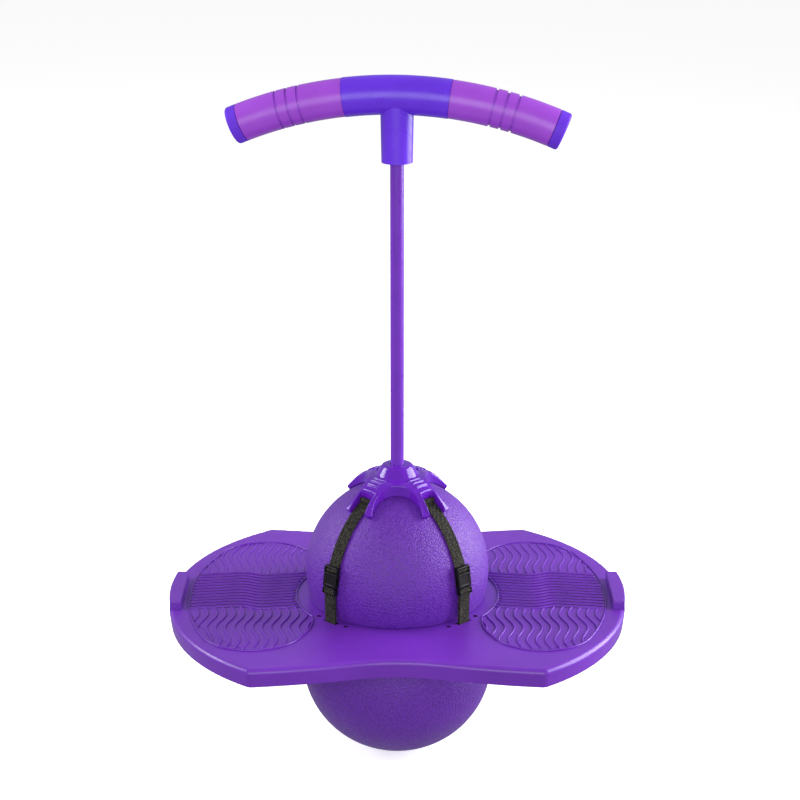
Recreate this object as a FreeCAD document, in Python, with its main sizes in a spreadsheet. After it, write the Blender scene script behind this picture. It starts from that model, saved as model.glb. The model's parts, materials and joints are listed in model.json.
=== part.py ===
import FreeCAD, Part
import math
import os
import re

import Sketcher

from FreeCAD import Placement, Rotation, Vector

# Pogo ball with a T-handle: a two-lobed air ball held in the round hole of a butterfly board, a
# four-legged crown strapped down on the ball, and a T-handle screwed into the crown.
# Millimetres, +Z up, +X across the board from foot to foot, -Y to the rider's front.
# The origin is the middle of the ball's contact patch with the ground.

doc = FreeCAD.newDocument("pogo_stick")
dims = doc.addObject("Spreadsheet::Sheet", "Dims")

DRIVING = {
    # ball
    "lower_lobe": 104,
    "upper_lobe": 99.5,
    "upper_height": 209.3,
    "waist_radius": 90.5,
    "waist_top": 177,
    "shoulder_drop": 19,
    "contact_radius": 12,
    "ball_wall": 3,
    # board
    "board_top": 178,
    "board_depth": 19.5,
    "plate_thick": 4,
    "wall_thick": 4.5,
    "skirt_draft": 6.5,
    "tip_x": 249.1,
    "end_x": 245.1,
    "end_y": 46,
    "wing_round": 231.3,
    "corner_x": 150,
    "corner_y": 195.5,
    "flank_round": 725.5,
    "dip_x": 45,
    "dip_y": 177.5,
    "middle_y": 172,
    "corner_round": 9,
    "edge_round": 5,
    "hole_radius": 91.5,
    "collar_wall": 4,
    "hole_round": 2,
    "curb_wide": 12.5,
    "curb_half": 42,
    "curb_high": 9,
    "curb_round": 1.5,
    "rib_thick": 2.5,
    "rib_inner_x": 45,
    "rib_inner_low": 86,
    "rib_inner_high": 173.5,
    "rib_mid_x": 130,
    "rib_mid_high": 188,
    "rib_outer_x": 185,
    "rib_outer_high": 160,
    "rib_side_y": 55,
    "rib_side_low": 76,
    "rib_side_high": 239,
    "pad_x": 150,
    "pad_y": 150,
    "pad_outer_x": 229.5,
    "pad_ring": 112,
    "pad_inner_y": 68,
    "pad_round": 80,
    "pad_high": 0.4,
    # strap slots in the board
    "strap_azimuth": 47,
    "slot_ring": 102.8,
    "slot_long": 18.5,
    "slot_wide": 6,
    "peg_hole": 4.4,
    "peg_angle": 11.2,
    # straps and their loops
    "strap_wide": 15,
    "strap_thick": 1.2,
    "strap_gap": 0.7,
    "bar_radius": 1.2,
    "bar_play": 0.1,
    "crown_bar_angle": 28,
    "keeper_long": 23,
    # buckles
    "buckle_angle": 81,
    "buckle_gap": 0.5,
    "buckle_wide": 18.6,
    "buckle_thick": 6.5,
    "female_bar_over": 3,
    "male_bar_over": 3.2,
    "window_half": 2.7,
    "female_low": -7.5,
    "female_high": 15.5,
    "female_bar": 10.8,
    "male_low": -15.5,
    "male_high": -7.9,
    "male_bar": -11.9,
    "window_wide": 15.6,
    "cavity_high": 5.4,
    "cavity_skin": 1.3,
    "buckle_round": 1.3,
    "side_window_low": -2.6,
    "side_window_high": 3.4,
    "male_wide": 17.8,
    "finger_high": 4.2,
    "finger_skin": 1.6,
    "finger_wide": 2.6,
    "tongue_high": 2,
    # crown
    "crown_gap": 0.5,
    "neck_top": 329.3,
    "neck_radius": 16,
    "neck_foot": 23.5,
    "neck_foot_z": 317.5,
    "ridge_angle": 24.4,
    "ridge_over": 10.5,
    "tip_angle": 38.5,
    "tip_over": 5,
    "leg_half": 16,
    "arch_round": 18,
    "fork_wide": 18,
    "fork_start": 44.5,
    "insert_radius": 10,
    "neck_lip": 2.5,
    "neck_play": 0.3,
    "insert_low": 311,
    # handle
    "pole_radius": 7.2,
    "pole_wall": 1.3,
    "pole_low": 312,
    "pole_high": 708,
    "pole_play": 0.05,
    "handle_turn": -6,
    "bar_height": 726,
    "arch_radius": 430,
    "tee_radius": 20.2,
    "grip_radius": 19.8,
    "core_radius": 12.4,
    "core_wall": 1.6,
    "core_play": 0.1,
    "tee_angle": 7.25,
    "grip_angle": 21.8,
    "cap_angle": 23.3,
    "seam_angle": 0.04,
    "cap_round": 2.5,
    "cap_plug_angle": 2,
    "stem_low": 657,
    "stem_low_radius": 16.2,
    "stem_high_radius": 17.4,
    "groove_deep": 1.5,
    "groove_half": 0.16,
    "groove_first": 13.15,
    "groove_step": 1.53,
    # air valve
    "valve_radius": 5,
    "valve_flange": 8,
    "flange_thick": 1.2,
    "valve_deep": 16,
    "valve_stand": 0.4,
    "plug_radius": 2.5,
    "plug_deep": 10,
    "plug_head": 4.6,
    "plug_play": 0.05,
}
for row, (alias, number) in enumerate(DRIVING.items(), start=1):
    dims.set(f"A{row}", alias)
    dims.set(f"B{row}", str(number))
    dims.setAlias(f"B{row}", alias)
doc.recompute()


def bound(text):
    """The expression with every driving dimension's name made a reference to its cell."""
    return re.sub(r"[a-z]+(?:_[a-z]+)+", lambda name: f"Dims.{name.group(0)}", text)


def val(text):
    return float(dims.evalExpression(bound(text)))


def new_body(name):
    body = doc.addObject("PartDesign::Body", name)
    body.Label = name
    return body


def new_sketch(body, name, plane="XZ_Plane", lift="0", turn=0.0, tilt="0", swing=0.0):
    """A sketch on one of the body's origin planes, moved out along the plane's normal by lift,
    turned in its plane by turn, tipped about its own horizontal axis by tilt and swung about its
    upright axis by swing, in degrees."""
    sketch = body.newObject("Sketcher::SketchObject", f"{body.Name}_{name}")
    flat = next(f for f in body.Origin.OriginFeatures if f.Role == plane)
    sketch.AttachmentSupport = [(flat, "")]
    sketch.MapMode = "FlatFace"
    turned = Rotation(Vector(0, 0, 1), turn) * Rotation(Vector(1, 0, 0), val(tilt))
    turned = turned * Rotation(Vector(0, 1, 0), swing)
    sketch.AttachmentOffset = Placement(Vector(0, 0, val(lift)), turned)
    sketch.setExpression("AttachmentOffset.Base.z", bound(lift))
    return sketch


def fix_point(sketch, geometry, corner, x, y):
    """Pins a point of the sketch at x, y, each an expression."""
    for kind, text in (("DistanceX", x), ("DistanceY", y)):
        row = sketch.addConstraint(Sketcher.Constraint(kind, -1, 1, geometry, corner, val(text)))
        sketch.setExpression(f"Constraints[{row}]", bound(text))


def draw_circle(sketch, x, y, radius):
    centre = Vector(val(x), val(y), 0)
    ring = sketch.addGeometry(Part.Circle(centre, Vector(0, 0, 1), val(radius)))
    fix_point(sketch, ring, 3, x, y)
    row = sketch.addConstraint(Sketcher.Constraint("Radius", ring, val(radius)))
    sketch.setExpression(f"Constraints[{row}]", bound(radius))


def draw_loop(sketch, corners):
    """A closed outline. Each corner is (x, y), or (x, y, radius, side) where an arc leads to the
    next corner, with its centre on the left of the way there (side 1) or on the right (-1)."""
    spots = [Vector(val(c[0]), val(c[1]), 0) for c in corners]
    drawn = []
    for i, corner in enumerate(corners):
        start = spots[i]
        end = spots[(i + 1) % len(corners)]
        if len(corner) == 2:
            drawn.append((sketch.addGeometry(Part.LineSegment(start, end)), 1, 2))
            continue
        radius = val(corner[2])
        side = corner[3]
        run = end - start
        reach = math.sqrt(max(radius**2 - (run.Length / 2) ** 2, 0))
        left = Vector(-run.y, run.x, 0) / run.Length
        centre = start + run / 2 + left * reach * side
        angles = [math.atan2(p.y - centre.y, p.x - centre.x) for p in (start, end)]
        if side < 0:
            angles.reverse()
        circle = Part.Circle(centre, Vector(0, 0, 1), radius)
        arc = sketch.addGeometry(Part.ArcOfCircle(circle, angles[0], angles[1]))
        drawn.append((arc, 1, 2) if side > 0 else (arc, 2, 1))
        row = sketch.addConstraint(Sketcher.Constraint("Radius", arc, radius))
        sketch.setExpression(f"Constraints[{row}]", bound(corner[2]))
    for i, (piece, first, last) in enumerate(drawn):
        following, its_first, _ = drawn[(i + 1) % len(drawn)]
        sketch.addConstraint(Sketcher.Constraint("Coincident", piece, last, following, its_first))
        fix_point(sketch, piece, first, corners[i][0], corners[i][1])


def draw_box(sketch, low_x, low_y, high_x, high_y):
    draw_loop(sketch, [(low_x, low_y), (high_x, low_y), (high_x, high_y), (low_x, high_y)])


def add_pad(body, sketch, length, middle=False, reverse=False, cut=False):
    kind = "PartDesign::Pocket" if cut else "PartDesign::Pad"
    feature = body.newObject(kind, f"{sketch.Name}_{'cut' if cut else 'pad'}")
    before = body.Shape.Volume if body.Shape.Solids else 0
    feature.Profile = sketch
    feature.Length = val(length)
    feature.setExpression("Length", bound(length))
    if middle:
        feature.Midplane = True
    feature.Reversed = reverse
    doc.recompute()
    return check_change(body, feature, before, cut)


def add_turned(body, sketch, axis, angle="360", middle=False, cut=False):
    kind = "PartDesign::Groove" if cut else "PartDesign::Revolution"
    feature = body.newObject(kind, f"{sketch.Name}_turned")
    before = body.Shape.Volume if body.Shape.Solids else 0
    feature.Profile = sketch
    feature.ReferenceAxis = (sketch, [axis])
    feature.Angle = val(angle)
    feature.setExpression("Angle", bound(angle))
    feature.Midplane = middle
    doc.recompute()
    return check_change(body, feature, before, cut)


def check_change(body, feature, before, cut):
    """Stops if a feature that should add left no more, or one that should cut left no less."""
    after = body.Shape.Volume
    if (after < before - 0.01) != cut or abs(after - before) < 0.01:
        raise RuntimeError(f"{feature.Name} changed the volume from {before:.1f} to {after:.1f}")
    return feature


def repeat_round(body, features, count):
    """Repeats features round the body's Z axis."""
    before = body.Shape.Volume
    pattern = body.newObject("PartDesign::PolarPattern", f"{features[0].Name}_round")
    pattern.Originals = features
    z_axis = next(f for f in body.Origin.OriginFeatures if f.Role == "Z_Axis")
    pattern.Axis = (z_axis, [""])
    pattern.Angle = 360
    pattern.Occurrences = count
    body.Tip = pattern
    doc.recompute()
    if abs(body.Shape.Volume - before) < 0.01:
        raise RuntimeError(f"{pattern.Name} changed nothing")
    return pattern


def round_edges(body, name, radius, chosen):
    """Fillets the edges of the body's present shape that the test chosen picks."""
    picked = [f"Edge{i + 1}" for i, edge in enumerate(body.Shape.Edges) if chosen(edge)]
    fillet = body.newObject("PartDesign::Fillet", f"{body.Name}_{name}")
    fillet.Base = (body.Tip if body.Tip != fillet else fillet.BaseFeature, picked)
    fillet.Radius = val(radius)
    fillet.setExpression("Radius", bound(radius))
    doc.recompute()
    if not picked or "Invalid" in fillet.State:
        raise RuntimeError(f"{fillet.Name} did not round its edges")
    return fillet


# Places worked out from the driving dimensions, as expressions

LOWER_HEIGHT = "sqrt(lower_lobe^2 - contact_radius^2)"
LOOP_INNER = "bar_radius + bar_play"
LOOP_OUTER = "bar_radius + bar_play + strap_thick"
BOARD_BOTTOM = "board_top - board_depth"
def lean_sides(body, angle):
    """Leans every upright face of the body inwards towards its foot, about its top face's outline."""
    before = body.Shape.Volume
    base = body.Tip
    faces = body.Shape.Faces
    upright = [f"Face{i}" for i, face in enumerate(faces, start=1) if face.BoundBox.ZLength > 1]
    top = max(range(len(faces)), key=lambda i: faces[i].CenterOfMass.z) + 1
    lean = body.newObject("PartDesign::Draft", f"{body.Name}_lean")
    lean.Base = (base, upright)
    lean.NeutralPlane = (base, [f"Face{top}"])
    lean.Angle = val(angle)
    lean.setExpression("Angle", bound(angle))
    lean.Reversed = True
    body.Tip = lean
    doc.recompute()
    return check_change(body, lean, before, True)


TURN = val("strap_azimuth")
STRAP_AZIMUTHS = {"front_right": -TURN, "back_right": TURN, "back_left": 180 - TURN,
                  "front_left": TURN - 180}


def on_ball(radius, angle):
    """A point of the XZ plane at this distance from the upper lobe's centre, angle degrees from +Z."""
    return f"({radius}) * sin({angle})", f"upper_height + ({radius}) * cos({angle})"


def on_buckle(over, along):
    """A point of the XZ plane given in the buckle's own frame: its height over the buckle's inner
    face, and its distance up along the buckle from its middle."""
    stand = f"(upper_lobe + buckle_gap + {over})"
    x = f"{stand} * sin(buckle_angle) - ({along}) * cos(buckle_angle)"
    z = f"upper_height + {stand} * cos(buckle_angle) + ({along}) * sin(buckle_angle)"
    return x, z


def buckle_place(azimuth):
    foot = on_buckle("0", "0")
    tilted = Placement(Vector(val(foot[0]), 0, val(foot[1])),
                       Rotation(Vector(0, 1, 0), val("buckle_angle - 90")))
    return Placement(Vector(), Rotation(Vector(0, 0, 1), azimuth)).multiply(tilted)


def make_ball():
    """The air ball: two lobes and the waist that the board's hole grips, one skin all round."""
    body = new_body("ball")
    profile = new_sketch(body, "profile")

    def half_outline(wall):
        lower = f"(lower_lobe - {wall})"
        upper = f"(upper_lobe - {wall})"
        waist = f"(waist_radius - {wall})"
        foot = f"sqrt({lower}^2 - ({LOWER_HEIGHT} - {wall})^2)"
        waist_low = f"{LOWER_HEIGHT} + sqrt({lower}^2 - {waist}^2)"
        return [
            ("0", wall),
            (foot, wall, lower, 1),
            (waist, waist_low),
            (waist, "waist_top"),
            (f"sqrt({upper}^2 - shoulder_drop^2)", "upper_height - shoulder_drop", upper, 1),
            ("0", f"upper_height + {upper}"),
        ]

    outer = half_outline("0")
    inner = half_outline("ball_wall")
    inner.reverse()
    back = [point[:2] for point in inner]
    back[0] = (*back[0], inner[1][2], -1)
    back[3] = (*back[3], inner[4][2], -1)
    draw_loop(profile, outer + back)
    add_turned(body, profile, "V_Axis")
    mouth = new_sketch(body, "valve_hole", lift="0 - upper_lobe - valve_deep / 2")
    draw_circle(mouth, "0", "upper_height", "valve_radius + 0.4")
    add_pad(body, mouth, "valve_deep", reverse=True, cut=True)
    return body


def board_outline(sketch, inset):
    """The butterfly outline, drawn anticlockwise, each point moved in by inset."""
    dip = "(dip_x^2 + (dip_y - middle_y)^2) / (2 * (dip_y - middle_y))"
    tip = "(end_y^2 + (tip_x - end_x)^2) / (2 * (tip_x - end_x))"
    dip_y = f"(dip_y - {inset})"
    corner = (f"(corner_x - 0.8 * {inset})", f"(corner_y - {inset})")
    end = (f"(end_x - {inset})", "end_y")
    draw_loop(sketch, [
        ("-dip_x", f"-{dip_y}", dip, -1),
        ("dip_x", f"-{dip_y}", "flank_round", 1),
        (corner[0], f"-{corner[1]}", "wing_round", 1),
        (end[0], f"-{end[1]}", tip, 1),
        (end[0], end[1], "wing_round", 1),
        (corner[0], corner[1], "flank_round", 1),
        ("dip_x", dip_y, dip, -1),
        ("-dip_x", dip_y, "flank_round", 1),
        (f"-{corner[0]}", corner[1], "wing_round", 1),
        (f"-{end[0]}", end[1], tip, 1),
        (f"-{end[0]}", f"-{end[1]}", "wing_round", 1),
        (f"-{corner[0]}", f"-{corner[1]}", "flank_round", 1),
    ])


def make_board():
    """The moulded board: top plate, skirt, collar round the hole, ribs below, curbs at the tips."""
    body = new_body("board")
    outline = new_sketch(body, "outline", "XY_Plane", BOARD_BOTTOM)
    board_outline(outline, "0")
    add_pad(body, outline, "board_depth")

    def at_corner(edge):
        box = edge.BoundBox
        upright = box.ZLength > val("board_depth") - 1
        return upright and abs(box.XMin) < val("corner_x") + 1 and abs(box.YMin) > val("corner_y") - 1

    def at_rim(edge):
        return edge.BoundBox.ZMin > val("board_top") - 0.01

    lean_sides(body, "skirt_draft")
    round_edges(body, "corners", "corner_round", at_corner)
    round_edges(body, "rim", "edge_round", at_rim)
    hollow = new_sketch(body, "hollow", "XY_Plane", BOARD_BOTTOM)
    board_outline(hollow, "wall_thick")
    add_pad(body, hollow, "board_depth - plate_thick", reverse=True, cut=True)

    collar = new_sketch(body, "collar", "XY_Plane", BOARD_BOTTOM)
    draw_circle(collar, "0", "0", "hole_radius + collar_wall")
    draw_circle(collar, "0", "0", "hole_radius - 1")
    add_pad(body, collar, "board_depth - plate_thick / 2")

    cross = new_sketch(body, "cross_ribs", "XY_Plane", BOARD_BOTTOM)
    for side in ("", "-"):
        for end in ("", "-"):
            draw_box(cross, f"{side}rib_inner_x - rib_thick / 2", f"{end}rib_inner_low",
                     f"{side}rib_inner_x + rib_thick / 2", f"{end}rib_inner_high")
        for x, high in (("rib_mid_x", "rib_mid_high"), ("rib_outer_x", "rib_outer_high")):
            draw_box(cross, f"{side}{x} - rib_thick / 2", f"-{high}",
                     f"{side}{x} + rib_thick / 2", high)
    add_pad(body, cross, "board_depth - plate_thick / 2")

    long_ribs = new_sketch(body, "long_ribs", "XY_Plane", BOARD_BOTTOM)
    for side in ("", "-"):
        for y in ("rib_side_y", "-rib_side_y"):
            draw_box(long_ribs, f"{side}rib_side_low", f"{y} - rib_thick / 2",
                     f"{side}rib_side_high", f"{y} + rib_thick / 2")
    add_pad(body, long_ribs, "board_depth - plate_thick / 2")

    hole = new_sketch(body, "hole", "XY_Plane", BOARD_BOTTOM)
    draw_circle(hole, "0", "0", "hole_radius")
    add_pad(body, hole, "board_depth", reverse=True, cut=True)

    def at_mouth(edge):
        box = edge.BoundBox
        return box.ZMin > val("board_top") - 0.01 and abs(box.XLength - 2 * val("hole_radius")) < 1

    round_edges(body, "mouth", "hole_round", at_mouth)

    curbs = new_sketch(body, "curbs", "XY_Plane", "board_top - edge_round - 1")
    tip = "(end_y^2 + (tip_x - end_x)^2) / (2 * (tip_x - end_x))"
    for side, way in (("", 1), ("-", -1)):
        draw_loop(curbs, [
            (f"{side}(end_x - curb_wide)", "-curb_half"),
            (f"{side}(end_x - 0.2)", "-curb_half", tip, way),
            (f"{side}(end_x - 0.2)", "curb_half"),
            (f"{side}(end_x - curb_wide)", "curb_half"),
        ])
    add_pad(body, curbs, "edge_round + 1 + curb_high")

    def at_curb_top(edge):
        return edge.BoundBox.ZMin > val("board_top + curb_high") - 0.01

    round_edges(body, "curb_tops", "curb_round", at_curb_top)

    pads = new_sketch(body, "foot_pads", "XY_Plane", "board_top - 0.5")
    swell = "pad_outer_x - pad_x"
    outer = f"(pad_y^2 + ({swell})^2) / (2 * ({swell}))"
    for side, way in (("", 1), ("-", -1)):
        inner_x = f"{side}sqrt(pad_ring^2 - pad_inner_y^2)"
        draw_loop(pads, [
            (f"{side}pad_x", "-pad_y", outer, way),
            (f"{side}pad_x", "pad_y", "pad_round", way),
            (inner_x, "pad_inner_y", "pad_ring", -way),
            (inner_x, "-pad_inner_y", "pad_round", way),
        ])
    add_pad(body, pads, "pad_high + 0.5")

    cuts = []
    for pair, turn in (("right", TURN), ("left", -TURN)):
        slots = new_sketch(body, f"slots_{pair}", "XY_Plane", "board_top", turn=turn)
        draw_box(slots, "slot_ring - slot_wide / 2", "-slot_long / 2",
                 "slot_ring + slot_wide / 2", "slot_long / 2")
        for side in ("", "-"):
            x = "slot_ring * cos(peg_angle)"
            y = f"{side}(slot_ring * sin(peg_angle))"
            half = "peg_hole / sqrt(2)"
            draw_loop(slots, [(f"{x} - {half}", y), (x, f"{y} - {half}"),
                              (f"{x} + {half}", y), (x, f"{y} + {half}")])
        cuts.append(add_pad(body, slots, "board_depth", cut=True))
    repeat_round(body, cuts, 2)
    return body


def make_crown():
    """The hub over the ball with its four forked legs, one pair each side of the front."""
    body = new_body("crown")
    dome = new_sketch(body, "dome")
    gap = "upper_lobe + crown_gap"
    draw_loop(dome, [
        ("0", f"upper_height + {gap}"),
        ("0", "neck_top"),
        ("neck_radius", "neck_top"),
        ("neck_foot", "neck_foot_z"),
        on_ball("upper_lobe + ridge_over", "ridge_angle"),
        on_ball("upper_lobe + tip_over", "tip_angle"),
        (*on_ball(gap, "tip_angle"), gap, 1),
    ])
    add_turned(body, dome, "V_Axis")

    cuts = []
    far = "3 * neck_foot"
    for name, turn, half in (("front", -90, "(90 - strap_azimuth)"), ("side", 0, "strap_azimuth")):
        arch = new_sketch(body, f"arch_{name}", "XY_Plane", "neck_top + 1", turn=turn)
        corner = f"leg_half / sin({half})"
        tangent_x = f"({corner} + arch_round * cos({half})^2 / sin({half}))"
        tangent_y = f"(arch_round * cos({half}))"
        far_x = f"({corner} + {far} * cos({half}))"
        far_y = f"({far} * sin({half}))"
        draw_loop(arch, [
            (tangent_x, f"-{tangent_y}"),
            (far_x, f"-{far_y}"),
            (far_x, far_y),
            (tangent_x, tangent_y, "arch_round", 1),
        ])
        cuts.append(add_pad(body, arch, "2 * neck_foot", cut=True))
    repeat_round(body, cuts, 2)

    cuts = []
    bars = []
    for name, turn in (("right", TURN), ("left", -TURN)):
        fork = new_sketch(body, f"fork_{name}", "XY_Plane", "neck_top + 1", turn=turn)
        draw_box(fork, "fork_start", "-fork_wide / 2", "3 * neck_foot", "fork_wide / 2")
        cuts.append(add_pad(body, fork, "2 * neck_foot", cut=True))
    repeat_round(body, cuts, 2)
    for name, turn in (("right", TURN), ("left", -TURN)):
        bar = new_sketch(body, f"bar_{name}", swing=turn)
        draw_circle(bar, *on_ball(f"upper_lobe + strap_gap + {LOOP_OUTER}", "crown_bar_angle"), "bar_radius")
        bars.append(add_pad(body, bar, "fork_wide + 1", middle=True))
    repeat_round(body, bars, 2)

    socket = new_sketch(body, "socket", "XY_Plane", "neck_top - neck_lip")
    draw_circle(socket, "0", "0", "insert_radius")
    add_pad(body, socket, "neck_top - neck_lip - insert_low", cut=True)
    mouth = new_sketch(body, "mouth", "XY_Plane", "neck_top")
    draw_circle(mouth, "0", "0", "pole_radius + neck_play")
    add_pad(body, mouth, "neck_lip", cut=True)
    return body


def make_insert():
    """The steel insert in the crown's neck that the pole screws into."""
    body = new_body("threaded_insert")
    ring = new_sketch(body, "ring", "XY_Plane", "insert_low")
    draw_circle(ring, "0", "0", "insert_radius")
    draw_circle(ring, "0", "0", "pole_radius + pole_play")
    add_pad(body, ring, "neck_top - neck_lip - insert_low")
    return body


def add_loop(body, name, place, wide="strap_wide"):
    """The loop of webbing round a bar, across the strap's width."""
    ring = new_sketch(body, name)
    draw_circle(ring, *place, LOOP_OUTER)
    draw_circle(ring, *place, LOOP_INNER)
    add_pad(body, ring, wide, middle=True)


def make_upper_strap(place_name, azimuth):
    """Webbing down the ball from the crown's bar to the buckle's bar."""
    body = new_body(f"upper_strap_{place_name}")
    inner = "upper_lobe + strap_gap"
    outer = "upper_lobe + strap_gap + strap_thick"
    top = "crown_bar_angle"
    low = "buckle_angle - atan(female_bar / (upper_lobe + buckle_gap + female_bar_over)) / 1 deg"
    band = new_sketch(body, "band")
    draw_loop(band, [
        (*on_ball(inner, low), inner, 1),
        on_ball(inner, top),
        (*on_ball(outer, top), outer, -1),
        on_ball(outer, low),
    ])
    add_pad(body, band, "strap_wide", middle=True)
    add_loop(body, "top_loop", on_ball(f"upper_lobe + strap_gap + {LOOP_OUTER}", top))
    add_loop(body, "low_loop", on_buckle("female_bar_over", "female_bar"))
    body.Placement = Placement(Vector(), Rotation(Vector(0, 0, 1), azimuth))
    return body


def make_lower_strap(place_name, azimuth):
    """Doubled webbing from the buckle's lower half down through the board to its keeper."""
    body = new_body(f"lower_strap_{place_name}")
    upper = on_buckle("male_bar_over", "male_bar")
    lower = ("slot_ring", "board_top - plate_thick - bar_radius")
    near = "(bar_radius + bar_play + 0.4)"
    band = new_sketch(body, "band")
    draw_loop(band, [
        (f"{lower[0]} - strap_thick", f"{lower[1]} + {near}"),
        (f"{lower[0]} + strap_thick", f"{lower[1]} + {near}"),
        (f"{upper[0]} + strap_thick", f"{upper[1]} - {near}"),
        (f"{upper[0]} - strap_thick", f"{upper[1]} - {near}"),
    ])
    add_pad(body, band, "strap_wide", middle=True)
    add_loop(body, "top_loop", upper)
    add_loop(body, "low_loop", lower)
    body.Placement = Placement(Vector(), Rotation(Vector(0, 0, 1), azimuth))
    return body


def buckle_box(body, name, over, across, along, cut=False):
    """Adds or cuts a block in a buckle's own frame, where X is the height over its inner face, Y
    runs across it and Z up along it. Each argument is a pair of expressions, low and high."""
    face = new_sketch(body, name, "YZ_Plane", over[0])
    draw_box(face, across[0], along[0], across[1], along[1])
    return add_pad(body, face, f"({over[1]}) - ({over[0]})", reverse=cut, cut=cut)


def add_buckle_window(body, bar_along, bar_over, end_low, end_high, wide):
    """The opening that a strap loops through, its bar, and room for the strap under the end."""
    full = ("0", "buckle_thick")
    half = f"{wide} / 2"
    across = (f"-{half}", half)
    low = f"{bar_along} - window_half"
    high = f"{bar_along} + window_half"
    buckle_box(body, "window", full, across, (low, high), cut=True)
    buckle_box(body, "strap_way", ("0", f"{bar_over} + strap_thick + 0.4"), across,
               (end_low, end_high), cut=True)
    bar = new_sketch(body, "bar")
    draw_circle(bar, bar_over, bar_along, "bar_radius")
    add_pad(body, bar, f"{wide} + 1", middle=True)


def make_female(place_name, azimuth):
    """The buckle's upper half: a hollow shell with side windows, and the strap's bar above."""
    body = new_body(f"buckle_female_{place_name}")
    across = ("-buckle_wide / 2", "buckle_wide / 2")
    buckle_box(body, "shell", ("0", "buckle_thick"), across, ("female_low", "female_high"))

    def at_long_edge(edge):
        return edge.BoundBox.ZLength > val("female_high - female_low") - 0.1

    round_edges(body, "long_edges", "buckle_round", at_long_edge)
    inside = ("cavity_skin", "buckle_thick - cavity_skin")
    buckle_box(body, "cavity", inside, ("-window_wide / 2", "window_wide / 2"),
               ("female_low", "cavity_high"), cut=True)
    for side in ("", "-"):
        buckle_box(body, f"side_window{'_left' if side else ''}", inside,
                   (f"{side}window_wide / 2 - 0.5", f"{side}buckle_wide / 2 + 0.5"),
                   ("side_window_low", "side_window_high"), cut=True)
    add_buckle_window(body, "female_bar", "female_bar_over", "female_bar + window_half - 1",
                      "female_high", "window_wide")
    body.Placement = buckle_place(azimuth)
    return body


def make_male(place_name, azimuth):
    """The buckle's lower half: a base with the strap's bar, a middle tongue and two side arms."""
    body = new_body(f"buckle_male_{place_name}")
    across = ("-male_wide / 2", "male_wide / 2")
    buckle_box(body, "base", ("0", "buckle_thick"), across, ("male_low", "male_high"))
    fingers = ("finger_skin", "buckle_thick - finger_skin")
    root = "male_high - 0.5"
    buckle_box(body, "tongue", fingers, ("-finger_wide / 2", "finger_wide / 2"), (root, "tongue_high"))
    for side in ("", "-"):
        name = "arm_left" if side else "arm_right"
        edge = f"{side}(window_wide / 2 - 0.4)"
        inner = f"{side}(window_wide / 2 - 0.4 - finger_wide)"
        buckle_box(body, name, fingers, (inner, edge), (root, "finger_high"))
    add_buckle_window(body, "male_bar", "male_bar_over", "male_low",
                      "male_bar - window_half + 1", "window_wide")
    body.Placement = buckle_place(azimuth)
    return body


def make_keepers():
    """Four steel pins under the board, each through the loop of one lower strap."""
    pins = []
    for place_name, azimuth in STRAP_AZIMUTHS.items():
        pin = doc.addObject("Part::Cylinder", f"keeper_{place_name}")
        pin.setExpression("Radius", bound("bar_radius"))
        pin.setExpression("Height", bound("keeper_long"))
        spot = Vector(val("slot_ring"), val("keeper_long / 2"),
                      val("board_top - plate_thick - bar_radius"))
        lying = Placement(spot, Rotation(Vector(1, 0, 0), 90))
        pin.Placement = Placement(Vector(), Rotation(Vector(0, 0, 1), azimuth)).multiply(lying)
        pins.append(pin)
    group = doc.addObject("Part::Compound", "strap_keepers")
    group.Label = "strap_keepers"
    group.Links = pins
    return group


def make_valve_body():
    """The rubber valve in the upper lobe's back, drawn along its own axis."""
    body = new_body("valve_body")
    profile = new_sketch(body, "profile")
    bore = "plug_radius + plug_play"
    draw_loop(profile, [
        (bore, "-valve_deep"),
        ("valve_radius", "-valve_deep"),
        ("valve_radius", "valve_stand"),
        ("valve_flange", "valve_stand"),
        ("valve_flange", "valve_stand + flange_thick"),
        (bore, "valve_stand + flange_thick"),
    ])
    add_turned(body, profile, "V_Axis")
    body.Placement = valve_place()
    return body


def make_valve_plug():
    body = new_body("valve_plug")
    profile = new_sketch(body, "profile")
    seat = "valve_stand + flange_thick"
    draw_loop(profile, [
        ("0", "-plug_deep"),
        ("plug_radius", "-plug_deep"),
        ("plug_radius", seat),
        ("plug_head", seat),
        ("plug_head", f"{seat} + flange_thick"),
        ("0", f"{seat} + flange_thick"),
    ])
    add_turned(body, profile, "V_Axis")
    body.Placement = valve_place()
    return body


def valve_place():
    spot = Vector(0, val("upper_lobe"), val("upper_height"))
    return Placement(spot, Rotation(Vector(1, 0, 0), -90))


def handle_place():
    """The handle pieces are drawn about the centre of the bar's arch, then turned with the pole."""
    spot = Vector(0, 0, val("bar_height - arch_radius"))
    return Placement(spot, Rotation(Vector(0, 0, 1), val("handle_turn")))


def add_arch(body, name, radii, span, middle="0", cut=False):
    """A length of the arched bar, solid or tubular, spanning an angle about a middle angle."""
    ring = new_sketch(body, name, "YZ_Plane", tilt=middle)
    for radius in radii:
        draw_circle(ring, "0", "arch_radius", radius)
    return add_turned(body, ring, "H_Axis", span, middle=True, cut=cut)


def make_pole():
    body = new_body("pole")
    ring = new_sketch(body, "ring", "XY_Plane", "pole_low")
    draw_circle(ring, "0", "0", "pole_radius")
    draw_circle(ring, "0", "0", "pole_radius - pole_wall")
    add_pad(body, ring, "pole_high - pole_low")
    return body


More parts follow.
